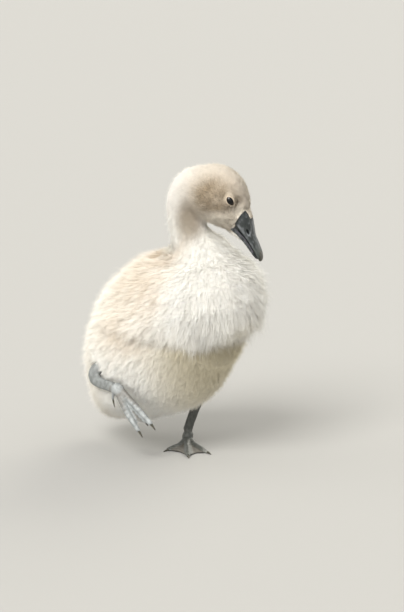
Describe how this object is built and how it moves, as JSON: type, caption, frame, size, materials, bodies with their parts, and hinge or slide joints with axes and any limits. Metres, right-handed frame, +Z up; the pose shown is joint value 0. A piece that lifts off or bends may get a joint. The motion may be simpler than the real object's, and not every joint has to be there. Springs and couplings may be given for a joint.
{
  "type": "mute swan cygnet",
  "caption": "Life-size still model of a downy mute swan cygnet in mid step, head turned and bowed, its right webbed foot lifted behind.",
  "frame": {"origin": "centre of the bounding box's footprint, on the ground that the standing foot rests on", "axes": "+Z up; the body walks towards -Y, so its right side is at -X"},
  "size_m": [0.0954, 0.1404, 0.2021],
  "materials": {
    "down": "pale cream and grey-beige natal down, dense and matte",
    "head_down": "very short down, taupe on the cheek, pale on the crown",
    "bill_skin": "slate-grey bill skin, satin",
    "horn": "near-black horn, satin",
    "eye": "near-black, wet gloss",
    "leg_skin": "blue-grey scaled skin, satin"
  },
  "bodies": {
    "root": {"trunk": "down", "neck": "down", "tail": "down", "wing_left": "down", "wing_right": "down", "thigh_left": "down", "thigh_right": "down", "head": "head_down", "bill_upper": "bill_skin", "bill_lower": "bill_skin", "bill_nail": "horn", "eye_left": "eye", "leg_left": "leg_skin", "foot_left": "leg_skin", "claw_left_inner": "horn", "claw_left_middle": "horn", "claw_left_outer": "horn", "claw_left_hind": "horn", "eye_right": "eye", "leg_right": "leg_skin", "foot_right": "leg_skin", "claw_right_inner": "horn", "claw_right_middle": "horn", "claw_right_outer": "horn", "claw_right_hind": "horn"}
  },
  "joints": []
}
